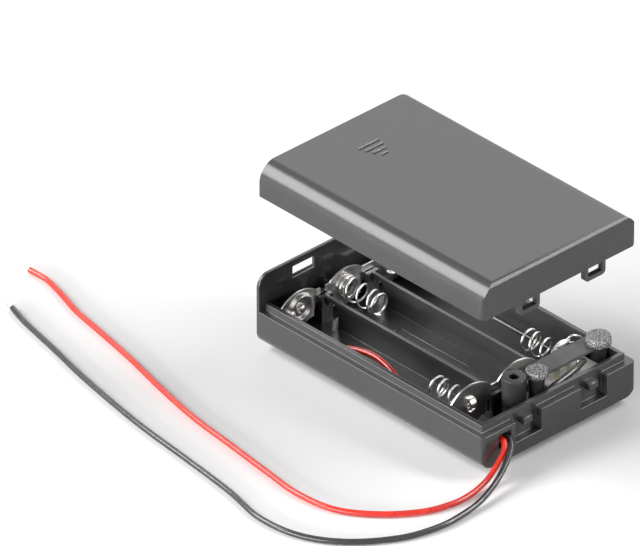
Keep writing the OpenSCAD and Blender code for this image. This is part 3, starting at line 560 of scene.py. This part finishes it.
# letters read along Y, with their tops towards the slot
foot_x = slot_x - foot_gap
start_y = slot_y - letter_step * len(word) / 2 + first_letter
for k, letter in enumerate(word):
    left_y = start_y + k * letter_step
    for stroke in strokes[letter]:
        paths.append([Vector((foot_x + v * letter_h, left_y + u * letter_w, underside)) for u, v in stroke])
lettering = wire("lettering", paths, line_d, case_plastic, round_steps=3)
print("lettering:", len(paths), "strokes")

# %% [markdown]
# ## Contact plates and springs
# The contacts are pressed from nickel-plated steel sheet and the springs are
# wound from nickel-plated wire. Rolled sheet keeps faint lines along the way it
# was rolled, so its noise is stretched one way. Drawn wire is smoother and
# brighter. Both are metals, so nearly all of their look is reflection.

# %% Metal finishes
contact_plate = bright_metal(
    "contact_plate", (0.70, 0.69, 0.67), (0.86, 0.85, 0.83), (0.28, 0.40),
    size=0.5, stretch=(1, 0.12, 1), depth=0.002)
spring_wire = bright_metal("spring_wire", (0.80, 0.79, 0.77), (0.94, 0.93, 0.91), (0.26, 0.38), size=0.25)
switch_steel = bright_metal("switch_steel", (0.45, 0.46, 0.47), (0.68, 0.69, 0.70), (0.28, 0.45), size=0.6)
wiper_metal = bright_metal("wiper_metal", (0.62, 0.43, 0.20), (0.82, 0.60, 0.32), (0.2, 0.34), size=0.3)
terminal_plate = bright_metal(
    "terminal_plate", (0.66, 0.60, 0.44), (0.86, 0.82, 0.70), (0.24, 0.46), size=0.4)
solder = bright_metal("solder", (0.88, 0.88, 0.88), (0.96, 0.96, 0.96), (0.34, 0.52), size=0.5, depth=0.02)

for name in ("contact_pos_bay1", "contact_link_near", "contact_link_far", "contact_neg_bay3"):
    dress(name, contact_plate, 0.06)
dress("switch_frame", switch_steel, 0.05)
dress("switch_wiper", wiper_metal, 0.04)
for name in ("switch_terminal_spare", "switch_terminal_in", "switch_terminal_out"):
    dress(name, terminal_plate, 0.06)
for name in ("solder_red", "solder_black", "solder_jumper", "solder_switch"):
    dress(name, solder)
print("metal pieces dressed")

# %% [markdown]
# ## The springs
# All three springs are the same compression spring: one closed turn against the
# plate, 2.75 open turns, and one closed turn that the cell presses. The packed
# spring is a coarse tube, so a finely stepped curve stands for it, wound on the
# same radius and rise. Where each one stands comes from its packed box.

# %% Springs
spring_d, wire_d, open_turns, open_rise = 5.0, 0.5, 2.75, 3.0
closed_rise = wire_d + 0.02


def rise_after(turns):
    open_part = min(max(turns - 1, 0), open_turns)
    return closed_rise * (min(turns, 1) + max(turns - 1 - open_turns, 0)) + open_rise * open_part


def wind_spring(node_name, name, facing):
    low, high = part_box(node_name)
    middle = (low + high) / 2 / mm
    radius = (spring_d - wire_d) / 2
    start = (low.x if facing > 0 else high.x) / mm + facing * wire_d / 2
    path = []
    steps = 40
    for k in range(int((open_turns + 2) * steps) + 1):
        turns = k / steps
        y, z = radius * math.cos(math.tau * turns), radius * math.sin(math.tau * turns)
        path.append(Vector((start + facing * rise_after(turns), middle.y + facing * y, middle.z + z)))
    made = wire(name, [path], wire_d, spring_wire, round_steps=4)
    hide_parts(node_name)
    return path_length(path)


lengths = [wind_spring("spring_bay1", "coil_bay1", -1), wind_spring("spring_bay2", "coil_bay2", 1),
           wind_spring("spring_bay3", "coil_bay3", -1)]
print(f"springs wound, {lengths[0]:.0f} mm of wire in each")

# %% [markdown]
# ## The switch and what covers it
# The small slide switch has a zinc-plated steel frame, a base of pale pressed
# paper board with three flat terminals, a bronze wiper and a black knob. A grey
# fibre plate, riveted over it by two melted posts, holds it down.
# Board and fibre are both made of fibres, so their noise is stretched and mottled.

# %% Board, fibre and knob
def fibre_board(name, dark, light, stretch, sheen):
    material, tree, shader = start_finish(name)
    fibres = noise(tree, place_in_mm(tree, stretch), 0.25, 5, 0.65)
    cloud = noise(tree, place_in_mm(tree), 2.5, 3)
    mixed = node(tree, "Math", {0: fibres, 1: cloud}, operation="ADD").outputs[0]
    mixed = node(tree, "Math", {0: mixed, 1: 0.5}, operation="MULTIPLY").outputs[0]
    send(tree, shader, Base_Color=shades(tree, mixed, (0.35, dark), (0.65, light)))
    send(tree, shader, Roughness=between(tree, fibres, *sheen), Normal=relief(tree, fibres, 0.02))
    return material


switch_board = fibre_board("switch_board", (0.66, 0.64, 0.61), (0.86, 0.84, 0.81), (1, 0.3, 1), (0.5, 0.7))
cover_board = fibre_board(
    "cover_board", (0.085, 0.088, 0.086), (0.125, 0.128, 0.126), (1, 0.4, 1), (0.42, 0.6))
knob_plastic = moulded_plastic("knob_plastic", (0.016, 0.016, 0.017), (0.03, 0.03, 0.032), (0.3, 0.42))
dress("switch_base", switch_board, 0.06)
dress("cover_plate", cover_board, 0.06)
dress("switch_knob", knob_plastic, 0.07)
print("switch dressed")

# %% [markdown]
# ## Wires inside the case
# The red lead runs along the first bay to the far contact, the black one crosses
# the compartment to the switch, and a bare jumper joins the switch to the third
# bay's spring plate. They are the same wires as outside, so they use the same
# curves and finishes, on the routes of their packed tubes.

# %% Inner runs
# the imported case's own lines: the near and the far end of a bay, the end wall's inner face,
# and the corner of the first bay where the red lead lies on the floor along the side wall
x_near, x_far, x_end_in = 19.9, -28.6, 29.3
run_y, run_z = -17.575, 1.925
red_inner_route = [
    (31.5, -15.125, 4.9), (x_end_in + 0.7, -15.125, 4.9), (x_end_in - 2.3, -15.525, 3.6),
    (x_near + 3.1, run_y + 0.7, 2.1), (x_near - 2.9, run_y, run_z), (x_near - 8.9, run_y, 2.2),
    (x_near - 12.9, run_y + 0.5, 3.8), (x_near - 16.9, run_y + 1.5, 6.3), (-4, run_y + 2.5, 7.4),
    (-11, run_y + 1.6, 6.5), (x_far + 13.1, run_y + 0.4, 3.8), (x_far + 8.6, run_y, run_z),
    (x_far + 4, run_y + 0.3, 2.4), (x_far + 2.2, run_y + 1.2, 4.2), (x_far + 1.05, -15.25, 6.25)]
black_inner_route = [
    (31.5, -13.675, 4.9), (x_end_in + 0.2, -13.675, 4.9), (x_end_in - 1, -12.575, 4.1),
    (x_end_in - 1.2, -10, 3), (x_end_in - 1, -6.5, 2.5), (x_end_in - 0.8, -3, 3),
    (x_end_in - 0.7, -0.6, 5.6), (x_end_in - 0.7, 0.9, 8.2), (x_end_in - 0.9, 4.6, 8.9),
    (x_end_in - 1.4, 8.8, 9.35), (26.9, 11.5, 9.3)]


def inside_path(route):
    # these heights are counted from the tray's underside
    return smooth_path([(x, y, z + underside) for x, y, z in route])


red_run, black_run = inside_path(red_inner_route), inside_path(black_inner_route)
red_inner = wire("red_wire_inside", [red_run], lead_d, red_insulation)
black_inner = wire("black_wire_inside", [black_run], lead_d, black_insulation)
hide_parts("red_lead_inside")
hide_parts("black_lead_inside")
dress("jumper_wire", tinned_copper)
print(f"inner runs: red {path_length(red_run):.0f} mm, black {path_length(black_run):.0f} mm")
